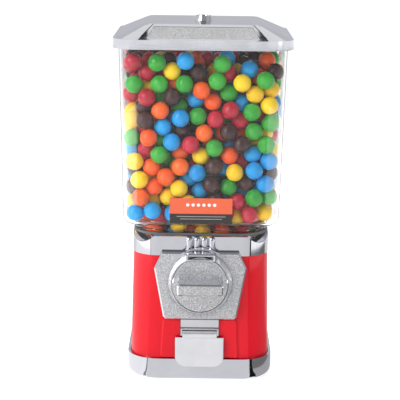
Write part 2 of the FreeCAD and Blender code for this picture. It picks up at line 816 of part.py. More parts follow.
def mechanism_frame():
    """The ring, back plate, studs and nuts that carry the mechanism behind the body's front wall."""
    depth = S.face_back - S.housing_back
    ring = disc("housing_ring", S.housing_radius, (0, -S.face_back, S.dial_height), depth, HOUSING_INNER, "Y")
    coin_exit = box("coin_exit", (-COIN_RADIUS - 1, COIN_RADIUS + 1), (-S.face_back - 1, -S.housing_back + 1),
                    (S.dial_height - S.housing_radius - 1, S.dial_height - 20))
    keep("mech_housing", cut("mech_housing", ring, coin_exit))
    plate = box("back_plate_slab", (-BACK_PLATE_HALF, BACK_PLATE_HALF), (-S.housing_back, -S.back_plate_back),
                (S.dial_height - 27, S.dial_height + 23.5))
    shaft = cylinder("back_plate_bore", BUSHING_RADIUS, (0, -S.housing_back - 1, S.dial_height), 5, "Y")
    holes = []
    studs = []
    nuts = []
    for x in (-STUD_X, STUD_X):
        for z in STUD_HEIGHTS:
            name = f"{'left' if x < 0 else 'right'}_{z}"
            holes.append(cylinder(f"plate_hole_{name}", STUD_RADIUS, (x, -S.housing_back - 1, z), 5, "Y"))
            length = S.face_back - STUD_END
            studs.append(cylinder(f"stud_{name}", STUD_RADIUS, (x, -S.face_back, z), length, "Y"))
            boss = cylinder(f"wing_boss_{name}", 4, (x, -S.back_plate_back, z), 4, "Y")
            wing = box(f"wing_{name}", (x - 7.5, x + 7.5), (-S.back_plate_back + 1, -S.back_plate_back + 4),
                       (z - 0.9, z + 0.9))
            bore = cylinder(f"wing_bore_{name}", STUD_RADIUS, (x, -S.back_plate_back - 1, z), 6, "Y")
            nuts.append(cut(f"wing_nut_{name}", fuse(f"wing_solid_{name}", boss, wing), bore))
    keep("mech_back_plate", cut("mech_back_plate", plate, shaft, *holes))
    keep("mech_studs", group("mech_studs", *studs))
    keep("mech_wing_nuts", group("mech_wing_nuts", *nuts))
    bush = disc("bush_sleeve", BUSHING_RADIUS, (0, -S.housing_back, S.dial_height),
                S.housing_back - S.pinion_front - 0.4, S.shaft_radius + 0.3, "Y")
    keep("shaft_bushing", bush)
    pin_front = RATCHET_BACK + RATCHET_THICK
    pin = cylinder("pawl_pin", PAWL_PIN_RADIUS, (-S.pawl_pivot_radius, -pin_front, S.dial_height),
                   pin_front - S.housing_back, "Y")
    keep("pawl_pin", pin)


def drive_shaft():
    shaft = cylinder("drive_shaft", S.shaft_radius, (0, -S.dial_back, S.dial_height),
                     S.dial_back - SHAFT_END, "Y")
    keep("drive_shaft", shaft)
    clip = disc("shaft_clip", CLIP_RADIUS, (0, -S.pinion_back, S.dial_height),
                S.pinion_back - SHAFT_END, S.shaft_radius, "Y")
    keep("shaft_clip", clip)


def ratchet_pawl():
    """Its nose follows the ratchet's teeth, so that the dial turns one way."""
    body = new_body("pawl_arm")
    pivot = S.pawl_pivot_radius
    points = [(-pivot - 2.2, -1), (-pivot + 2.1, -1), (-pivot + 5.3, 8.5), (-pivot + 2.7, 9.4)]
    thick = RATCHET_THICK - 0.6
    pad(body, outline(body, "pawl_outline", points, "XY_Plane"), "pawl_pad", thick)
    place(body, 0, -RATCHET_BACK - 0.3, S.dial_height, TO_FRONT)
    start = (-pivot, -RATCHET_BACK - 0.3 - thick, S.dial_height)
    eye = cylinder("pawl_eye", 3, start, thick, "Y")
    hole = cylinder("pawl_hole", PAWL_PIN_RADIUS + 0.3, start, thick, "Y")
    keep("ratchet_pawl", cut("ratchet_pawl", fuse("pawl_solid", body, eye), hole))


# --------------------------------------------------------------------------------------------------
# Chute and door


def chute_channel():
    """A square tube from the discharge hole down to the door."""
    top = S.pan_trough - 0.5
    sheet = S.chute_sheet
    back, front = S.pocket_pitch_radius - 16.5, S.pocket_pitch_radius + 16.5
    outer = side_profile("chute_outer", [
        (-back, top), (-back, CHUTE_BEND), (-CHUTE_MOUTH, CHUTE_MOUTH_BOTTOM),
        (-CHUTE_MOUTH + 6, CHUTE_MOUTH_TOP), (-front, CHUTE_BEND + 4), (-front, top),
    ], S.chute_half)
    slope = math.atan2(CHUTE_BEND - CHUTE_MOUTH_BOTTOM, CHUTE_MOUTH - float(back))
    rise = float(sheet) / math.cos(slope)
    inner = side_profile("chute_inner", [
        (-back - sheet, top + 1), (-back - sheet, CHUTE_BEND + rise * 0.6),
        (-CHUTE_MOUTH - 2, CHUTE_MOUTH_BOTTOM + rise - 2 * math.tan(slope)),
        (-CHUTE_MOUTH + 4, CHUTE_MOUTH_TOP - rise - 2.6), (-front + sheet, CHUTE_BEND + 4 - rise * 0.6),
        (-front + sheet, top + 1),
    ], S.chute_half - sheet)
    keep("chute_channel", cut("chute_channel", outer, inner))


def chute_hood():
    """The neck under the faceplate: a sloping brow, a gap and a bead, with two lugs for the door's pin."""
    half = S.opening_half - 0.5
    back = S.face_back
    front = S.face_front
    brow = side_profile("hood_brow", [
        (-back + 0.6, S.face_bottom), (-front, S.face_bottom), (-front, S.face_bottom - 3),
        (-front + 0.8, HOOD_LIP + 5.2), (-front + 3, HOOD_LIP + 4.8), (-front + 3, HOOD_LIP),
        (-back + 0.6, HOOD_LIP),
    ], half)
    bead = cylinder("hood_bead", BEAD_RADIUS, (-half, -front + BEAD_RADIUS + 0.1, HOOD_LIP + BEAD_RADIUS),
                    half * 2, "X")
    lugs = []
    for side in (-1, 1):
        low = -half if side < 0 else half - LUG
        lugs.append(box(f"hood_lug_{side}", (low, low + LUG), (-front + 0.4, -back + 0.6),
                        (S.hinge_height - 2.4, HOOD_LIP + 1)))
    pin_hole = cylinder("hood_pin_hole", S.hinge_pin_radius, (-half - 1, -S.hinge_forward, S.hinge_height),
                        half * 2 + 2, "X")
    keep("chute_hood", cut("chute_hood", fuse("hood_solid", brow, bead, *lugs), pin_hole))
    keep("door_pin", cylinder("door_pin", S.hinge_pin_radius, (-half, -S.hinge_forward, S.hinge_height),
                              half * 2, "X"))


def chute_door():
    """A flap that hangs from a rolled knuckle and swings outwards."""
    body = new_body("door_leaf")
    half, bottom, top = S.door_half, S.door_bottom, S.door_shoulder
    thick = S.door_front - S.door_back
    height = top - bottom
    corners = [(-half, bottom), (half, bottom), (half, top), (-half, top)]
    leaf = pad(body, outline(body, "door_outline", corners, "XY_Plane"), "door_pad", thick)
    DOC.recompute()
    low_corners = [
        f"Edge{k + 1}" for k, edge in enumerate(leaf.Shape.Edges)
        if all(abs(v.Y - float(bottom)) < 1e-4 for v in edge.Vertexes)
        and abs(edge.Vertexes[0].Z - edge.Vertexes[-1].Z) > 1e-4
    ]
    rounded = body.newObject("PartDesign::Fillet", "door_corners")
    rounded.Base = (leaf, low_corners)
    bind(rounded, "Radius", S.door_corner)
    chamfer_edges(body, rounded, "door_bevel", 0.5, level(thick))
    place(body, 0, -S.door_back, 0, TO_FRONT)
    roll_half = S.opening_half - 0.5 - LUG - 0.4
    roll = cylinder("door_roll", S.knuckle_radius, (-roll_half, -S.hinge_forward, S.hinge_height),
                    roll_half * 2, "X")
    web = box("door_web", (-roll_half, roll_half), (-S.door_front + 0.5, -S.door_back),
              (S.door_shoulder - height / 20, S.hinge_height))
    hole = cylinder("door_pin_hole", S.hinge_pin_radius + 0.3,
                    (-roll_half - 1, -S.hinge_forward, S.hinge_height), roll_half * 2 + 2, "X")
    keep("chute_door", cut("chute_door", fuse("door_solid", body, roll, web), hole))


# --------------------------------------------------------------------------------------------------
# Centre rod and what it holds


def centre_rod():
    rod = cylinder("centre_rod", S.rod_radius, (0, 0, S.rod_bottom), S.rod_top - S.rod_bottom)
    keep("centre_rod", rod)
    floor_bottom = S.pan_floor - S.pan_sheet
    nuts = []
    for name, bottom in (("foot", S.rod_boss_top), ("pan", floor_bottom - WASHER - NUT_HEIGHT)):
        nut = hexagon(f"{name}_hex", 13, (0, 0, bottom), NUT_HEIGHT)
        bore = cylinder(f"{name}_hex_bore", S.rod_radius, (0, 0, bottom), NUT_HEIGHT)
        nuts.append(cut(f"{name}_nut", nut, bore))
    keep("rod_nuts", group("rod_nuts", *nuts))
    keep("rod_washer", disc("rod_washer", 12, (0, 0, floor_bottom - WASHER), WASHER, S.rod_radius))
    keep("wheel_keeper", disc("wheel_keeper", KEEPER_RADIUS, (0, 0, S.wheel_top + 0.4), KEEPER_HEIGHT,
                              S.rod_radius))


def pocket_shield():
    """A plate over the pocket that stands above the discharge hole, with a brush along each side."""
    inner = S.pan_radius - S.pan_wall
    bottom = S.wheel_top + 1
    slab = box("shield_slab", (-SHIELD_HALF, SHIELD_HALF), (-S.pan_radius, -SHIELD_BACK),
               (bottom, bottom + SHIELD_THICK))
    keep("pocket_shield", common("pocket_shield", slab, cylinder("shield_round", inner, (0, 0, bottom), 5)))
    strips = []
    for side, low in (("left", -SHIELD_HALF - BRUSH), ("right", SHIELD_HALF)):
        strips.append(box(f"brush_{side}", (low, low + BRUSH), (-SHIELD_FRONT, -SHIELD_BACK),
                          (S.wheel_top + 0.4, BRUSH_TOP)))
    keep("wheel_brushes", group("wheel_brushes", *strips))


# --------------------------------------------------------------------------------------------------
# Globe, gasket and card


def globe_lean():
    """How far the globe's walls lean out for each millimetre of height."""
    return (S.globe_top_side - S.globe_bottom_side) / 2 / (S.globe_top - S.globe_bottom)


def globe():
    wall = S.globe_wall
    lean = globe_lean()
    bowl = new_body("globe_bowl")
    raised = rounded_pad(bowl, "bowl_outer", S.globe_bottom, S.globe_top, S.globe_bottom_side,
                         S.globe_corner, lean)
    round_edges(bowl, raised, "bowl_round", S.globe_round, level(S.globe_bottom))
    inside = new_body("globe_inside")
    hollow = rounded_pad(inside, "bowl_inner", S.globe_bottom + wall, S.globe_top,
                         S.globe_bottom_side - wall * 2, S.globe_corner - wall, lean)
    round_edges(inside, hollow, "bowl_inner_round", S.globe_round - wall, level(S.globe_bottom + wall))
    neck = block("neck_outer", [
        (S.neck_bottom, S.neck_side, S.neck_corner),
        (S.neck_shoulder, S.neck_side, S.neck_corner),
    ])
    shoulder = block("shoulder_outer", [
        (S.neck_shoulder, S.neck_shoulder_side, S.neck_corner),
        (S.globe_bottom + 1, S.neck_shoulder_side, S.neck_corner),
    ])
    neck_hollow = block("neck_inner", [
        (S.neck_bottom, S.neck_side - wall * 2, S.neck_corner - wall),
        (S.neck_shoulder + wall + 1, S.neck_side - wall * 2, S.neck_corner - wall),
    ])
    shoulder_hollow = block("shoulder_inner", [
        (S.neck_shoulder + wall, S.neck_shoulder_side - wall * 2, S.neck_corner - wall),
        (S.globe_bottom + wall + 1, S.neck_shoulder_side - wall * 2, S.neck_corner - wall),
    ])
    solid = fuse("globe_solid", bowl, neck, shoulder)
    below = cut("globe_below", solid, neck_hollow, shoulder_hollow)
    keep("globe", cut("globe", below, inside))
    ring = block("gasket_outer", [
        (S.collar_top, S.neck_shoulder_side + 0.6, S.neck_corner + 0.3),
        (S.neck_shoulder, S.neck_shoulder_side + 0.6, S.neck_corner + 0.3),
    ])
    hole = block("gasket_hole", [
        (S.collar_top, S.neck_side + 0.4, S.neck_corner + 0.2),
        (S.neck_shoulder, S.neck_side + 0.4, S.neck_corner + 0.2),
    ])
    keep("globe_gasket", cut("globe_gasket", ring, hole))


def info_card():
    """A printed card on the globe's front."""
    lean = globe_lean()
    height = S.card_top - S.card_bottom
    card = DOC.addObject("Part::Box", "info_card")
    bind(card, "Length", S.card_half * 2)
    bind(card, "Width", CARD_THICK)
    bind(card, "Height", height)
    foot = S.globe_bottom_side / 2 + (S.card_bottom - S.globe_bottom) * lean
    tilt = Rotation(Vector(1, 0, 0), math.degrees(math.atan(float(lean))))
    keep("info_card", place(card, -S.card_half, -(foot + CARD_THICK + 0.05), S.card_bottom, tilt))


# --------------------------------------------------------------------------------------------------
# Lid and lock


def lid():
    wall = S.lid_wall
    skirt = block("lid_skirt", [
        (S.lid_skirt_bottom, S.lid_side, S.lid_corner),
        (S.lid_skirt_top, S.lid_side, S.lid_corner),
    ])
    roof = block("lid_roof", [
        (S.lid_skirt_top, S.lid_slope_side, S.lid_corner - 2),
        (S.lid_slope_top, S.lid_slope_top_side, LID_TOP_CORNER),
        (S.lid_top, S.lid_flat_side, LID_TOP_CORNER - 3),
    ])
    inner_half = S.lid_side - wall * 2
    hollow = block("lid_hollow", [
        (S.lid_skirt_bottom, inner_half, S.lid_corner - wall),
        (S.lid_skirt_top - wall, inner_half - 3, S.lid_corner - wall - 1),
        (S.lid_slope_top - wall, S.lid_slope_top_side - wall * 2, LID_TOP_CORNER - 2),
    ])
    rest_top = S.globe_top + 2.3
    rest_outer = block("rest_outer", [
        (S.globe_top + 0.3, inner_half, S.lid_corner - wall),
        (rest_top, inner_half, S.lid_corner - wall),
    ])
    rest_inner = block("rest_inner", [
        (S.globe_top + 0.3, S.globe_top_side - S.globe_wall * 2 - 2, S.globe_corner - 2),
        (rest_top, S.globe_top_side - S.globe_wall * 2 - 2, S.globe_corner - 2),
    ])
    rest = cut("lid_rest", rest_outer, rest_inner)
    lock_hole = cylinder("lid_lock_hole", LOCK_STEM, (0, 0, S.lid_skirt_top), 20)
    recess = panel_solid("panel_recess", 0, S.lid_panel_depth, 1)
    shell = cut("lid_shell", fuse("lid_solid", skirt, roof), hollow)
    keep("lid", cut("lid", fuse("lid_with_rest", shell, rest), lock_hole, recess))
    keep("lid_panel", panel_solid("lid_panel", 0.4, S.lid_panel_depth, -0.2))


def panel_solid(name, gap, depth, proud):
    """A plate let into the lid's front slope: four corners on the slope, drawn in by a gap."""
    drop = float(S.lid_slope_top - S.lid_skirt_top)
    run = float(S.lid_slope_side - S.lid_slope_top_side) / 2
    slope = math.degrees(math.atan2(drop, run))
    body = new_body(name)
    back, front = PANEL_BACK - gap, PANEL_FRONT - gap
    front_half, back_half = PANEL_FRONT_HALF - gap, PANEL_BACK_HALF - gap
    corners = [(-front_half, -front), (front_half, -front), (back_half, back), (-back_half, back)]
    sketch = outline(body, name + "_outline", corners, "XY_Plane", -depth)
    pad(body, sketch, name + "_pad", depth + proud)
    middle_y = -(S.lid_slope_side + S.lid_slope_top_side) / 4
    middle_z = (S.lid_skirt_top + S.lid_slope_top) / 2
    return place(body, 0, middle_y, middle_z, Rotation(Vector(1, 0, 0), slope))


def lock():
    stem_bottom = S.lid_top - 14
    collar = cone("lock_collar", S.lock_radius, S.lock_top_radius, (0, 0, S.lid_top), S.lock_top - S.lid_top)
    stem = cylinder("lock_stem", LOCK_STEM, (0, 0, stem_bottom), S.lid_top - stem_bottom)
    bore = cylinder("lock_bore", S.plug_radius + 0.3, (0, 0, stem_bottom - 1), 30)
    keep("lock_housing", cut("lock_housing", fuse("lock_solid", collar, stem), bore))
    nut = hexagon("lock_nut_hex", 21, (0, 0, stem_bottom + 1), 6)
    nut_bore = cylinder("lock_nut_bore", LOCK_STEM, (0, 0, stem_bottom + 1), 6)
    keep("lock_nut", cut("lock_nut", nut, nut_bore))
    plug = cylinder("lock_plug", S.plug_radius, (0, 0, stem_bottom), S.lock_top - 0.6 - stem_bottom)
    keyway = box("keyway", (-0.9, 0.9), (-4, 4), (S.lock_top - 9, S.lock_top))
    thread = cylinder("plug_thread", S.rod_radius + 0.3, (0, 0, stem_bottom - 1), S.rod_top - stem_bottom + 3)
    keep("lock_barrel", cut("lock_barrel", plug, keyway, thread))


# --------------------------------------------------------------------------------------------------
# Gumballs


def rounded_square_distance(x, y, half, corner):
    """How far a point is outside a rounded square, or how far inside as a negative."""
    qx, qy = abs(x) - half + corner, abs(y) - half + corner
    if qx > 0 and qy > 0:
        return math.hypot(qx, qy) - corner
    return max(qx, qy) - corner


def drop_height(x, y, reach, near):
    """The height at which a ball let down at (x, y) rests on the wheel, the fittings or other balls."""
    height = float(S.wheel_top) + reach
    from_rod = math.hypot(x, y)
    if from_rod < KEEPER_RADIUS + reach:
        side = max(from_rod - KEEPER_RADIUS, 0.0)
        height = max(height, KEEPER_TOP + math.sqrt(reach * reach - side * side))
    dx = max(abs(x) - SHIELD_HALF - BRUSH, 0.0)
    dy = max(y + SHIELD_BACK, -y - float(S.pan_radius), 0.0)
    if dx * dx + dy * dy < reach * reach:
        height = max(height, BRUSH_TOP + math.sqrt(reach * reach - dx * dx - dy * dy))
    over_flange = from_rod - float(S.pan_radius - S.pan_wall) + reach
    if over_flange > 0:
        side = max(reach - over_flange, 0.0)
        height = max(height, float(S.pan_flange_top) + math.sqrt(reach * reach - side * side))
    mouth_half = float(S.neck_side) / 2 - float(S.globe_wall)
    outside = rounded_square_distance(x, y, mouth_half, float(S.neck_corner - S.globe_wall))
    if outside > -reach:
        side = max(-outside, 0.0)
        shoulder = float(S.globe_bottom + S.globe_wall)
        height = max(height, shoulder + math.sqrt(reach * reach - side * side))
    spacing2 = 4 * reach * reach
    for bx, by, bz in near:
        side2 = (x - bx) ** 2 + (y - by) ** 2
        if side2 < spacing2:
            height = max(height, bz + math.sqrt(spacing2 - side2))
    return height


def fits_walls(x, y, z, reach):
    """Whether a ball clears the centre rod and the globe's walls, whose corners widen as they lean out."""
    wall = float(S.globe_wall)
    spread = max(z - float(S.globe_bottom) - wall, 0.0) * float(globe_lean())
    half = float(S.globe_bottom_side) / 2 - wall + spread
    outside = rounded_square_distance(x, y, half, float(S.globe_corner) - wall + spread)
    return outside <= -reach and math.hypot(x, y) >= float(S.rod_radius) + reach


def poured_balls():
    """Lets balls down one at a time, each into the lowest hollow found, until they reach the fill height."""
    draw = random.Random(BALL_SEED)
    reach = float(S.gumball_radius + S.gumball_gap / 2)
    half = float(S.globe_top_side) / 2 - float(S.globe_wall) - reach
    columns = {}
    size = 2 * reach

    def near(x, y):
        i, j = int(x // size), int(y // size)
        around = [(i + di, j + dj) for di in (-1, 0, 1) for dj in (-1, 0, 1)]
        return [ball for column in around for ball in columns.get(column, [])[-RECENT:]]

    def resting(x, y):
        z = drop_height(x, y, reach, near(x, y))
        return (z, x, y) if fits_walls(x, y, z, reach) else (math.inf, x, y)

    balls = []
    while True:
        best = min(resting(draw.uniform(-half, half), draw.uniform(-half, half)) for _ in range(BALL_TRIES))
        step = reach / 2
        for _ in range(BALL_NUDGES):
            turn = draw.uniform(0, 2 * math.pi)
            moved = resting(best[1] + step * math.cos(turn), best[2] + step * math.sin(turn))
            if moved < best:
                best = moved
            else:
                step = max(step * 0.9, 0.05)
        z, x, y = best
        if z + reach > FILL_TOP:
            return balls
        balls.append((x, y, z))
        columns.setdefault((int(x // size), int(y // size)), []).append((x, y, z))


def gumballs():
    draw = random.Random(COLOUR_SEED)
    by_colour = {colour: [] for colour in COLOURS}
    for k, centre in enumerate(poured_balls()):
        colour = draw.choice(COLOURS)
        by_colour[colour].append(sphere(f"ball_{k}", S.gumball_radius, centre))
    for colour in COLOURS:
        keep(f"gumballs_{colour}", group(f"gumballs_{colour}", *by_colour[colour]))
    loaded = []
    for k in range(1, POCKETS):
        turn = math.radians(270 + 360 * k / POCKETS)
        x, y = S.pocket_pitch_radius * math.cos(turn), S.pocket_pitch_radius * math.sin(turn)
        z = S.pan_floor + S.gumball_radius + POCKET_BALL_LIFT
        loaded.append(sphere(f"pocket_ball_{k}", S.gumball_radius, (x, y, z)))
    keep("pocket_gumballs", group("pocket_gumballs", *loaded))


# Sizes that follow from the sheet, or that are the same for one fitting wherever it is used.
TO_FRONT = Rotation(Vector(1, 0, 0), 90)
BEYOND_FRONT = 95
INSIDE_FRONT = 60
APRON_DEPTH = 4.5
APRON_BEVEL = 1.4
FLUTES = 4
SCALLOP_REACH = 84
SCALLOP_LENGTH = 20
SCALLOP_INWARD = 8
SCALLOP_OUTWARD = 5.3
POCKETS = 6
STUD_RADIUS = 2
STUD_X = 37
STUD_HEIGHTS = (100, 139)
STUD_END = 64.5
BACK_PLATE_HALF = 42
BUSHING_RADIUS = 6.5
TROUGH_INNER = 58.5
PINION_WAY_HALF = 13.5
CROWN_ROOT = 133.2
CROWN_PITCH_RADIUS = 64.4
CROWN_ROOT_THICK = 3.4
CROWN_TIP_THICK = 1.6
PINION_THICK = 2.5
PINION_TURN = 18
RATCHET_THICK = 3.8
RATCHET_BACK = 79.8
COIN_WHEEL_BACK = 84
COIN_RADIUS = 12.6
COIN_FRONT = 92.4
COIN_BACK = 89.8
HOOD_INNER = 98.1
WINDOW_HALF = 15
FACE_BEVEL = 1.6
HOUSING_INNER = 28.5
PAWL_PIN_RADIUS = 1.5
SHAFT_END = 59.2
CLIP_RADIUS = 6.5
SPOUT_BOTTOM = 118
CHUTE_BEND = 82
CHUTE_MOUTH = 87.4
CHUTE_MOUTH_BOTTOM = 27.6
CHUTE_MOUTH_TOP = 53.5
HOOD_LIP = 62.9
BEAD_RADIUS = 1.35
LUG = 1.7
WASHER = 1.5
NUT_HEIGHT = 6.5
KEEPER_RADIUS = 9
KEEPER_HEIGHT = 6
KEEPER_TOP = DIMENSIONS["wheel_top"] + 0.4 + KEEPER_HEIGHT
SHIELD_HALF = 19
SHIELD_BACK = 24
SHIELD_FRONT = 62
SHIELD_THICK = 1.6
BRUSH = 2.5
BRUSH_TOP = 164
CARD_THICK = 0.5
LID_TOP_CORNER = 12
LOCK_STEM = 8.6
PANEL_BACK = 14.6
PANEL_FRONT = 13.6
PANEL_BACK_HALF = 56
PANEL_FRONT_HALF = 64
POCKET_BALL_LIFT = 0.4
BALL_SEED = 11
BALL_TRIES = 60
BALL_NUDGES = 40
RECENT = 12
FILL_TOP = 392.2
COLOUR_SEED = 5
COLOURS = ("red", "orange", "yellow", "green", "blue", "brown")


def check_and_write():
    """Stops on any failed object or bad shape, then writes one STEP file for each piece."""
    DOC.recompute()
    booleans = ("Part::Cut", "Part::MultiFuse", "Part::Common")
    failed = [thing.Name for thing in DOC.Objects if {"Invalid", "Error"} & set(thing.State)]
    failed += [thing.Name for thing in DOC.Objects if thing.isDerivedFrom("PartDesign::Feature")
               and (thing.Shape.isNull() or thing.Shape.Volume <= 0)]
    failed += [thing.Name for thing in DOC.Objects if thing.TypeId in booleans
               and thing.Shape.Volume <= 0]
    if failed:
        raise RuntimeError(f"failed objects: {failed}")
    os.makedirs("parts", exist_ok=True)
    for piece in PARTS:
        if piece.Shape.isNull() or not piece.Shape.isValid() or not piece.Shape.Solids:
            raise RuntimeError(f"bad shape: {piece.Label}")
        piece.Shape.exportStep(f"parts/{piece.Label}.step")
        print(f"{piece.Label:18s} {len(piece.Shape.Solids):4d} solids {piece.Shape.Volume / 1000:9.2f} cm3")


base_tray()
body_shell()
top_collar()
wheel_pan()
product_wheel()
crown_gear()
drive_pinion()
ratchet_wheel()
coin_faceplate()
coin_slot_block()
coin_wheel()
turn_handle()
mechanism_frame()
drive_shaft()
ratchet_pawl()
chute_channel()
chute_hood()
chute_door()
centre_rod()
pocket_shield()
globe()
info_card()
lid()
lock()
gumballs()
check_and_write()
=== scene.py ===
"""The looks of a gumball and capsule vendor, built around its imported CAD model: every material, the gumballs'
finish, the card's print, the studio and the camera. Lengths are metres, +Z is up and the front faces -Y."""

import math

import bpy
from mathutils import Euler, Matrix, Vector


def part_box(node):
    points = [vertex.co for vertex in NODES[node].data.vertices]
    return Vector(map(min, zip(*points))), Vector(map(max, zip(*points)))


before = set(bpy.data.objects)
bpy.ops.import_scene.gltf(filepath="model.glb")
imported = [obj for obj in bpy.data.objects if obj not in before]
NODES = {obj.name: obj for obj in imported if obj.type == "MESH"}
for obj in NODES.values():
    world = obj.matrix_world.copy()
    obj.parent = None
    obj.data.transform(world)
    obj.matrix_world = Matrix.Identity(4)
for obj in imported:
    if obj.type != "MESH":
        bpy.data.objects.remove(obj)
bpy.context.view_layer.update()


# --------------------------------------------------------------------------------------------------
# Small helpers for building node trees

NOISE_SPAN = (0.3, 0.7)  # most of a noise texture's values fall between these
MIX_FIRST, MIX_SECOND, MIX_RESULT = 6, 7, 2  # the colour sockets of a Mix node


def shade(tint, by):
    """A tint made darker or lighter."""
    return tuple(min(1.0, channel * by) for channel in tint)


class Nodes:
    """The node tree of a material or a world, with short calls that add to it."""

    def __init__(self, owner):
        owner.use_nodes = True
        self.tree = owner.node_tree

    def add(self, kind, **properties):
        node = self.tree.nodes.new(kind)
        for key, value in properties.items():
            setattr(node, key, value)
        return node

    def link(self, source, target):
        self.tree.links.new(source, target)

    def put(self, value, socket):
        """Gives a socket a number, a colour or another node's output."""
        if isinstance(value, bpy.types.NodeSocket):
            self.link(value, socket)
        elif isinstance(value, tuple):
            socket.default_value = (*value, 1.0)
        else:
            socket.default_value = value

    def ramp(self, source, low, high, to_low=0.0, to_high=1.0):
        """Maps a number from one range to another, held within it."""
        node = self.add("ShaderNodeMapRange", clamp=True)
        for socket, value in zip(("From Min", "From Max", "To Min", "To Max"), (low, high, to_low, to_high)):
            node.inputs[socket].default_value = value
        self.link(source, node.inputs["Value"])
        return node.outputs["Result"]

    def colour_ramp(self, source, stops, kind):
        """Maps a number to a colour by a list of places and colours."""
        node = self.add("ShaderNodeValToRGB")
        node.color_ramp.interpolation = kind
        elements = node.color_ramp.elements
        while len(elements) < len(stops):
            elements.new(0.5)
        for element, (place, colour) in zip(elements, stops):
            element.position = place
            element.color = (*colour, 1.0)
        self.link(source, node.inputs["Fac"])
        return node.outputs["Color"]

    def math(self, operation, *values):
        node = self.add("ShaderNodeMath", operation=operation)
        for socket, value in zip(node.inputs, values):
            self.put(value, socket)
        return node.outputs["Value"]

    def mix(self, factor, first, second, blend="MIX"):
        """A colour between two, or their product."""
        node = self.add("ShaderNodeMix", data_type="RGBA", blend_type=blend)
        self.put(factor, node.inputs["Factor"])
        self.put(first, node.inputs[MIX_FIRST])
        self.put(second, node.inputs[MIX_SECOND])
        return node.outputs[MIX_RESULT]

    def separate(self, source):
        node = self.add("ShaderNodeSeparateXYZ")
        self.link(source, node.inputs["Vector"])
        return node.outputs


class Look(Nodes):
    """One material with a Principled shader."""

    def __init__(self, name, **values):
        self.material = bpy.data.materials.new(name)
        super().__init__(self.material)
        self.shader = self.tree.nodes["Principled BSDF"]
        self.surface = self.tree.nodes["Material Output"].inputs["Surface"]
        for key, value in values.items():
            self.shader.inputs[key.replace("_", " ")].default_value = value
        self.coords = self.add("ShaderNodeTexCoord").outputs["Object"]

    def feed(self, source, socket):
        """Links a node's output to the Principled shader."""
        self.link(source, self.shader.inputs[socket])

    def stretched(self, x, y, z):
        """Object coordinates scaled along each axis."""
        node = self.add("ShaderNodeMapping")
        node.inputs["Scale"].default_value = (x, y, z)
        self.link(self.coords, node.inputs["Vector"])
        return node.outputs["Vector"]

    def noise(self, scale, detail, roughness=0.55, coords=None):
        node = self.add("ShaderNodeTexNoise")
        node.inputs["Scale"].default_value = scale
        node.inputs["Detail"].default_value = detail
        node.inputs["Roughness"].default_value = roughness
        self.link(coords or self.coords, node.inputs["Vector"])
        return node.outputs["Fac"]

    def cells(self, scale):
        """The distance to the nearest of many scattered points."""
        node = self.add("ShaderNodeTexVoronoi")
        node.inputs["Scale"].default_value = scale
        self.link(self.coords, node.inputs["Vector"])
        return node.outputs["Distance"]

    def bump(self, height, distance, strength, below=None):
        """Relief from a height, on top of an earlier relief where one is given."""
        node = self.add("ShaderNodeBump")
        node.inputs["Distance"].default_value = distance
        node.inputs["Strength"].default_value = strength
        self.link(height, node.inputs["Height"])
        if below is not None:
            self.link(below, node.inputs["Normal"])
        return node.outputs["Normal"]

    def faces(self, direction, low, high):
        """1 where the surface faces a direction, and 0 where it turns away."""
        normal = self.add("ShaderNodeTexCoord").outputs["Normal"]
        node = self.add("ShaderNodeVectorMath", operation="DOT_PRODUCT")
        self.link(normal, node.inputs[0])
        node.inputs[1].default_value = direction
        return self.ramp(node.outputs["Value"], low, high)

    def between(self, x, y):
        """The size of the difference between two numbers."""
        return self.math("ABSOLUTE", self.math("SUBTRACT", x, y))


def paint(look, *names):
    """Gives CAD nodes a finished material."""
    for name in names:
        for slot in NODES[name].material_slots:
            slot.material = look.material


# --------------------------------------------------------------------------------------------------
# Metals


def plated(name, tint, smooth, hazy):
    """Bright plating: faint waviness from the casting under it, wiping haze and hairline scratches."""
    look = Look(name, Metallic=1.0)
    haze = look.noise(scale=28, detail=5, roughness=0.6)
    wipes = look.noise(scale=90, detail=3, roughness=0.5, coords=look.stretched(1, 1, 0.12))
    look.feed(look.ramp(look.math("MULTIPLY", haze, wipes), 0.14, 0.42, smooth, hazy), "Roughness")
    look.feed(look.mix(look.ramp(haze, 0.35, 0.7), tint, shade(tint, 0.93)), "Base Color")
    waves = look.bump(look.noise(scale=14, detail=2, roughness=0.4), distance=0.0004, strength=0.08)
    scratches = look.noise(scale=420, detail=2, roughness=0.4, coords=look.stretched(0.06, 1, 1))
    look.feed(look.bump(scratches, distance=0.00002, strength=0.18, below=waves), "Normal")
    return look


def sand_cast(name, tint, facing, edge_low, edge_high):
    """Die-cast metal with a sandy face, and edges that were polished bright."""
    polished = (0.86, 0.86, 0.88)
    polished_roughness, sandy_roughness = 0.13, 0.42
    look = Look(name, Metallic=1.0)
    face = look.faces(facing, edge_low, edge_high)
    coarse = look.math("MULTIPLY", look.cells(850), 0.7)
    fine = look.math("MULTIPLY", look.noise(scale=1300, detail=3, roughness=0.7), 0.6)
    grit = look.math("ADD", coarse, fine)
    sandy = look.mix(look.ramp(grit, 0.42, 0.86), shade(tint, 0.50), shade(tint, 1.30))
    blotches = look.ramp(look.noise(scale=60, detail=5, roughness=0.6), 0.3, 0.75, 0.0, 0.35)
    patched = look.mix(blotches, sandy, shade(tint, 0.86))
    look.feed(look.mix(face, polished, patched), "Base Color")
    look.feed(look.ramp(face, 0.0, 1.0, polished_roughness, sandy_roughness), "Roughness")
    look.feed(look.bump(look.math("MULTIPLY", grit, face), distance=0.0004, strength=0.9), "Normal")
    return look


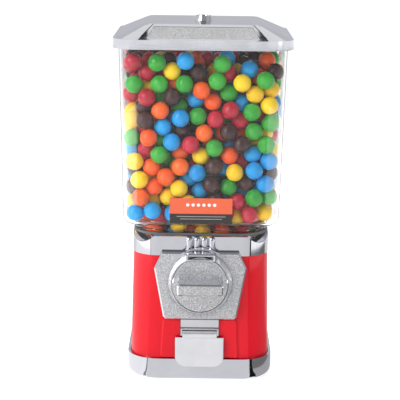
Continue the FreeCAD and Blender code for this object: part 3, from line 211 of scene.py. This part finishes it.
def brushed(name, tint, grain_stretch, smooth=0.24, rough=0.42):
    """Sheet metal with drawn grain along the axis that is stretched."""
    look = Look(name, Metallic=1.0)
    grain = look.noise(scale=900, detail=3, roughness=0.6, coords=look.stretched(*grain_stretch))
    haze = look.noise(scale=35, detail=4, roughness=0.6)
    look.feed(look.ramp(grain, *NOISE_SPAN, smooth, rough), "Roughness")
    look.feed(look.mix(look.ramp(haze, *NOISE_SPAN), shade(tint, 0.9), tint), "Base Color")
    look.feed(look.bump(grain, distance=0.00003, strength=0.35), "Normal")
    return look


def red_enamel():
    """Gloss red over sheet steel, with orange peel and a few dust nibs."""
    deep_red, light_red = (0.66, 0.001, 0.010), (0.76, 0.002, 0.016)
    look = Look("red_enamel", Roughness=0.4, Coat_Weight=0.5, Coat_Roughness=0.03, Coat_IOR=1.5,
                Specular_IOR_Level=0.08)
    patch = look.noise(scale=9, detail=3, roughness=0.5)
    look.feed(look.mix(look.ramp(patch, *NOISE_SPAN), deep_red, light_red), "Base Color")
    peel = look.bump(look.noise(scale=230, detail=2, roughness=0.5), distance=0.00012, strength=0.12)
    look.feed(peel, "Coat Normal")
    nibs = look.ramp(look.cells(310), 0.0, 0.05, 1.0, 0.0)
    look.feed(look.bump(nibs, distance=0.00005, strength=0.15, below=peel), "Normal")
    return look


# --------------------------------------------------------------------------------------------------
# Plastics, rubber, sugar and card


def clear_globe():
    """Moulded clear polycarbonate, a little wavy and hazed. Lamp rays pass, so that the gumballs are lit."""
    look = Look("clear_globe", Transmission_Weight=1.0, IOR=1.3, Base_Color=(0.985, 0.99, 0.995, 1.0))
    haze = look.noise(scale=22, detail=4, roughness=0.6)
    look.feed(look.ramp(haze, 0.45, 0.85, 0.0, 0.012), "Roughness")
    wave = look.noise(scale=10, detail=2, roughness=0.4)
    look.feed(look.bump(wave, distance=0.0004, strength=0.05), "Normal")
    let_through = look.add("ShaderNodeBsdfTransparent")
    let_through.inputs["Color"].default_value = (0.94, 0.95, 0.95, 1.0)
    blend = look.add("ShaderNodeMixShader")
    look.link(look.add("ShaderNodeLightPath").outputs["Is Shadow Ray"], blend.inputs["Fac"])
    look.link(look.shader.outputs["BSDF"], blend.inputs[1])
    look.link(let_through.outputs["BSDF"], blend.inputs[2])
    look.link(blend.outputs["Shader"], look.surface)
    return look


def candy(name, deep, light):
    """A gumball's polished sugar shell: each ball has its own shade, and is faintly mottled and dimpled."""
    look = Look(name, Specular_IOR_Level=0.25, Coat_Weight=0.2, Coat_Roughness=0.1)
    ball = look.add("ShaderNodeNewGeometry").outputs["Random Per Island"]
    mottle = look.noise(scale=160, detail=4, roughness=0.6)
    tone = look.math("ADD", look.math("MULTIPLY", ball, 0.75), look.math("MULTIPLY", mottle, 0.5))
    look.feed(look.mix(look.ramp(tone, 0.1, 1.1), deep, light), "Base Color")
    look.feed(look.ramp(mottle, 0.3, 0.75, 0.2, 0.36), "Roughness")
    dimples = look.bump(look.noise(scale=120, detail=3, roughness=0.5), distance=0.0006, strength=0.14)
    grain = look.noise(scale=900, detail=2, roughness=0.5)
    look.feed(look.bump(grain, distance=0.00006, strength=0.2, below=dimples), "Normal")
    return look


def moulded(name, tint, roughness, grain_depth=0.00004):
    """A moulded plastic or rubber part with a fine spark-eroded grain."""
    look = Look(name)
    patch = look.noise(scale=40, detail=4, roughness=0.6)
    look.feed(look.mix(look.ramp(patch, *NOISE_SPAN), shade(tint, 0.82), tint), "Base Color")
    look.feed(look.ramp(patch, *NOISE_SPAN, roughness * 0.85, roughness * 1.15), "Roughness")
    grain = look.noise(scale=1400, detail=2, roughness=0.6)
    look.feed(look.bump(grain, distance=grain_depth, strength=0.5), "Normal")
    return look


def printed_card():
    """Coated card: an orange band with a row of plain dots above a near-black band with two thin rules."""
    black_share = 0.385
    band_edge = 0.0001
    dot_pitch, dot_rise, dot_radius, dot_edge = 0.0062, 0.0105, 0.0018, 0.0002
    dot_row_half, dot_row_edge = 0.0184, 0.0003
    rule_sizes = ((0.0032, 0.028), (0.0062, 0.024))  # depth under the orange band, half length
    rule_core, rule_rim, rule_end, rule_strength = 0.00022, 0.0003, 0.0003, 0.55
    ink_white = (0.86, 0.84, 0.82)

    look = Look("printed_card", Roughness=0.34, Coat_Weight=0.3, Coat_Roughness=0.2)
    low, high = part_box("info_card")
    split = low.z + (high.z - low.z) * black_share
    x, _, z = look.separate(look.coords)
    fibres = look.noise(scale=700, detail=3, roughness=0.6)
    fibre_tone = look.ramp(fibres, *NOISE_SPAN)
    orange = look.mix(fibre_tone, (0.74, 0.10, 0.03), (0.80, 0.125, 0.04))
    black = look.mix(fibre_tone, (0.018, 0.014, 0.014), (0.030, 0.022, 0.02))
    ground = look.mix(look.ramp(z, split - band_edge, split + band_edge), black, orange)

    across = look.between(look.math("PINGPONG", x, dot_pitch / 2), dot_pitch / 2)
    up = look.math("SUBTRACT", z, split + dot_rise)
    across_squared, up_squared = look.math("MULTIPLY", across, across), look.math("MULTIPLY", up, up)
    away = look.math("SQRT", look.math("ADD", across_squared, up_squared))
    from_middle = look.math("ABSOLUTE", x)
    in_row = look.ramp(from_middle, dot_row_half, dot_row_half + dot_row_edge, 1.0, 0.0)
    ink = look.math("MULTIPLY", look.ramp(away, dot_radius, dot_radius + dot_edge, 1.0, 0.0), in_row)
    for depth, half_length in rule_sizes:
        line = look.ramp(look.between(z, split - depth), rule_core, rule_rim, rule_strength, 0.0)
        inside = look.ramp(from_middle, half_length, half_length + rule_end, 1.0, 0.0)
        ink = look.math("MAXIMUM", ink, look.math("MULTIPLY", line, inside))
    look.feed(look.mix(ink, ground, ink_white), "Base Color")
    look.feed(look.bump(fibres, distance=0.00002, strength=0.3), "Normal")
    return look


# --------------------------------------------------------------------------------------------------
# Which piece has which material

CHROME = (0.66, 0.66, 0.71)
FORWARD = (0, -1, 0)
PANEL_NORMAL = (0, -0.4, 0.916)
WHOLE_PIECE = (-2.0, -1.5)  # below every facing value, so that all of a piece is sandy
CANDY = {
    "red": ((0.38, 0.006, 0.022), (0.54, 0.016, 0.045)),
    "orange": ((0.86, 0.085, 0.006), (0.96, 0.15, 0.014)),
    "yellow": ((0.88, 0.50, 0.004), (0.97, 0.66, 0.012)),
    "green": ((0.018, 0.27, 0.022), (0.05, 0.42, 0.045)),
    "blue": ((0.002, 0.25, 0.62), (0.01, 0.38, 0.80)),
    "brown": ((0.030, 0.010, 0.010), (0.060, 0.022, 0.020)),
}

paint(plated("tray_chrome", CHROME, 0.05, 0.14), "base_tray")
paint(plated("collar_chrome", CHROME, 0.03, 0.09), "top_collar")
paint(plated("lid_chrome", (0.68, 0.69, 0.73), 0.03, 0.10), "lid")
paint(plated("trim_chrome", (0.82, 0.82, 0.85), 0.02, 0.07), "coin_slot_block", "lock_housing",
      "lock_barrel", "door_pin")
paint(plated("hood_chrome", (0.70, 0.70, 0.73), 0.06, 0.16), "chute_hood")
paint(sand_cast("plate_cast", (0.66, 0.66, 0.68), FORWARD, 0.93, 0.999), "coin_faceplate")
paint(sand_cast("dial_cast", (0.64, 0.64, 0.66), FORWARD, 0.85, 0.99), "turn_handle")
paint(sand_cast("lid_cast", (0.76, 0.76, 0.78), PANEL_NORMAL, 0.9, 0.99), "lid_panel")
paint(sand_cast("gear_cast", (0.42, 0.42, 0.42), FORWARD, *WHOLE_PIECE), "coin_wheel", "ratchet_wheel",
      "drive_pinion", "ratchet_pawl", "mech_housing")
paint(brushed("door_satin", (0.90, 0.90, 0.93), (1, 1, 0.02), 0.26, 0.40), "chute_door")
paint(brushed("zinc", (0.60, 0.60, 0.58), (1, 1, 0.2)), "centre_rod", "rod_nuts", "rod_washer",
      "mech_back_plate", "mech_studs", "mech_wing_nuts", "pawl_pin", "drive_shaft", "shaft_clip",
      "lock_nut", "pocket_shield", "chute_channel")
paint(red_enamel(), "body_shell")
paint(moulded("wheel_nylon", (0.86, 0.86, 0.84), 0.5), "product_wheel", "crown_gear", "wheel_keeper",
      "wheel_pan", "shaft_bushing")
paint(moulded("brush_nylon", (0.05, 0.05, 0.05), 0.6, 0.0002), "wheel_brushes")
paint(moulded("gasket_rubber", (0.10, 0.10, 0.105), 0.5), "globe_gasket")
paint(clear_globe(), "globe")
paint(printed_card(), "info_card")
for colour, (deep, light) in CANDY.items():
    paint(candy(f"candy_{colour}", deep, light), f"gumballs_{colour}")
paint(candy("candy_pocket", *CANDY["orange"]), "pocket_gumballs")


# --------------------------------------------------------------------------------------------------
# Studio

WHITE = (1.0, 1.0, 1.0)
FLOOR_HALF = 30.0
FLOOR_GLOW = 0.62
BACKDROP = (0.97, 0.97, 0.97)  # what the camera itself sees behind the object
ROOM_STRENGTH = 0.72


def flat_piece(name, points, look):
    """A flat mesh with one face."""
    mesh = bpy.data.meshes.new(name)
    mesh.from_pydata(points, [], [tuple(range(len(points)))])
    mesh.materials.append(look.material)
    piece = bpy.data.objects.new(name, mesh)
    bpy.context.scene.collection.objects.link(piece)
    return piece


def rectangle(x, y, height):
    """The corners of a level rectangle."""
    return [(x[0], y[0], height), (x[1], y[0], height), (x[1], y[1], height), (x[0], y[1], height)]


def floor():
    """Pale matt paper that glows a little, so that it stays white away from the lamps."""
    look = Look("floor_paper", Roughness=0.8, Specular_IOR_Level=0.0, Emission_Color=(*WHITE, 1.0),
                Emission_Strength=FLOOR_GLOW)
    mottle = look.ramp(look.noise(scale=6, detail=3), *NOISE_SPAN)
    look.feed(look.mix(mottle, (0.78, 0.78, 0.78), (0.81, 0.81, 0.81)), "Base Color")
    reach = (-FLOOR_HALF, FLOOR_HALF)
    plane = flat_piece("floor", rectangle(reach, reach, 0), look)


def studio_world():
    """A soft room that brightens upwards. It is grey in front, paler grey on the right and white elsewhere,
    and the camera itself sees only a plain backdrop."""
    grey_front, grey_right = (0.42, 0.42, 0.45), (0.62, 0.62, 0.66)
    by_height = [(0.0, (0.80, 0.80, 0.82)), (0.5, (0.74, 0.74, 0.80)), (0.62, (0.82, 0.82, 0.87)),
                 (0.85, WHITE)]
    by_bearing = [(0.0, grey_front), (0.095, grey_front), (0.11, WHITE), (0.66, WHITE), (0.69, grey_right),
                  (0.88, grey_right), (0.90, grey_front), (1.0, grey_front)]  # 0 and 1 front, 0.75 right

    world = bpy.data.worlds.new("studio")
    bpy.context.scene.world = world
    room = Nodes(world)
    x, y, z = room.separate(room.add("ShaderNodeTexCoord").outputs["Generated"])
    level = room.colour_ramp(room.ramp(z, -1.0, 1.0), by_height, "EASE")
    turn = room.ramp(room.math("ARCTAN2", x, y), -math.pi, math.pi)
    around = room.colour_ramp(turn, by_bearing, "LINEAR")
    lit = room.mix(1.0, level, around, blend="MULTIPLY")
    to_camera = room.add("ShaderNodeLightPath").outputs["Is Camera Ray"]
    background = room.tree.nodes["Background"]
    room.link(room.mix(to_camera, lit, BACKDROP), background.inputs["Color"])
    background.inputs["Strength"].default_value = ROOM_STRENGTH


def softbox(name, place, aim, size, watts, mirrored=True):
    """A rectangular lamp. One that isn't mirrored lights the object but shows in no reflection."""
    light = bpy.data.lights.new(name, "AREA")
    light.shape = "RECTANGLE"
    light.size, light.size_y = size
    light.energy = watts
    lamp = bpy.data.objects.new(name, light)
    lamp.location = place
    lamp.visible_glossy = mirrored
    lamp.rotation_euler = (Vector(aim) - Vector(place)).to_track_quat("-Z", "Y").to_euler()
    bpy.context.scene.collection.objects.link(lamp)


def reflected_card(name, points, glow):
    """A card that only reflections show. Its glow runs from one strength at the left to one at the right."""
    fade_half = 0.8
    look = Look(name)
    emission = look.add("ShaderNodeEmission")
    across = look.separate(look.coords)[0]
    look.link(look.ramp(across, -fade_half, fade_half, *glow), emission.inputs["Strength"])
    look.link(emission.outputs["Emission"], look.surface)
    card = flat_piece(name, points, look)
    card.visible_camera = card.visible_diffuse = card.visible_shadow = False
    card.visible_transmission = card.visible_volume_scatter = False


# Upright chrome, enamel and clear walls mirror the floor around them: the higher the wall, the farther out.
# Each zone is the stretch of floor, from the object's middle outwards, that one part mirrors to the camera.
WHOLE_FLOOR = (0.04, 4.0)
BODY_ZONE = (0.13, 0.70)
COLLAR_ZONE = (0.70, 0.88)
GLOBE_ZONE = (0.88, 1.78)
LID_ZONE = (1.95, 4.0)
CARD_LAYER = 0.002  # cards lie in thin layers, and a higher one covers those under it
FRONT = (-38, 36)
LEFT = (-112, -40)
RIGHT = (41, 112)


def floor_card(name, bearings, layer, glow, zone=WHOLE_FLOOR):
    """A fan of card on the floor between two bearings, in degrees from the front towards the right."""
    steps = 12
    start, end = bearings
    near, far = zone
    height = layer * CARD_LAYER
    turns = [math.radians(start + (end - start) * k / steps) for k in range(steps + 1)]
    rim = [(math.sin(turn) * far, -math.cos(turn) * far, height) for turn in turns]
    inner = [(math.sin(turn) * near, -math.cos(turn) * near, height) for turn in reversed(turns)]
    reflected_card(name, rim + inner, glow)


def overhead_card(name, x, y, height, level):
    """A level card that hangs over the object."""
    reflected_card(name, rectangle(x, y, height), (level, level))


def camera():
    """A long lens 1.7 m in front and 13 cm above the lock, looking down about twelve degrees."""
    pitch, roll = 0.208, 0.013
    data = bpy.data.cameras.new("camera")
    data.sensor_width = 36.0
    data.lens = 125.9
    data.shift_x = -0.0031
    view = bpy.data.objects.new("camera", data)
    view.location = (0.0, -1.666, 0.5529)
    tilt = Euler((math.pi / 2 - pitch, 0, 0)).to_matrix()
    view.rotation_euler = (tilt @ Euler((0, 0, roll)).to_matrix()).to_euler()
    bpy.context.scene.collection.objects.link(view)
    bpy.context.scene.camera = view


floor()
studio_world()

BODY_TOP = (0, 0, 0.2)
GLOBE_MIDDLE = (0, 0, 0.3)
softbox("key_left", (-1.5, -1.3, 1.2), BODY_TOP, (1.1, 1.6), watts=31)
softbox("fill_right", (1.7, -1.2, 0.9), BODY_TOP, (0.7, 1.5), watts=2.5)
softbox("top_back", (0.0, 0.85, 1.7), GLOBE_MIDDLE, (1.4, 0.9), watts=18, mirrored=False)

floor_card("card_front", FRONT, 1, glow=(1.05, 0.72))
floor_card("card_line_right", (36, 41), 2, glow=(0.01, 0.01))
floor_card("card_line_left", (-40, -38), 2, glow=(0.35, 0.35))
floor_card("card_right", (41, 115), 1, glow=(0.60, 0.42))
floor_card("card_left", (-115, -40), 1, glow=(1.18, 1.30))
floor_card("card_back", (115, 245), 1, glow=(0.95, 0.80))
floor_card("body_right", RIGHT, 3, glow=(0.26, 0.18), zone=BODY_ZONE)
floor_card("collar_left", LEFT, 4, glow=(1.5, 1.9), zone=COLLAR_ZONE)
floor_card("collar_right", RIGHT, 4, glow=(1.7, 1.3), zone=COLLAR_ZONE)
floor_card("skirt_front", FRONT, 2, glow=(0.88, 0.56), zone=LID_ZONE)
floor_card("veil_left", (-112, -38), 3, glow=(10.0, 10.0), zone=GLOBE_ZONE)
floor_card("veil_right", (39, 112), 3, glow=(6.5, 6.5), zone=GLOBE_ZONE)

CEILING = 1.35
LID_CARD_EDGES = (0.105, 0.140)
overhead_card("card_overhead", (-0.6, 0.6), (-0.9, 0.12), CEILING, level=0.22)
overhead_card("card_ceiling_back", (-1.3, 1.3), (0.12, 1.4), CEILING, level=0.95)
for side in (-1, 1):
    edges = sorted(side * edge for edge in LID_CARD_EDGES)
    overhead_card(f"card_lid_{side + 1}", edges, (0.12, 0.95), 1.26, level=0.04)

camera()
bpy.context.scene.view_settings.view_transform = "Standard"
bpy.context.scene.view_settings.look = "None"
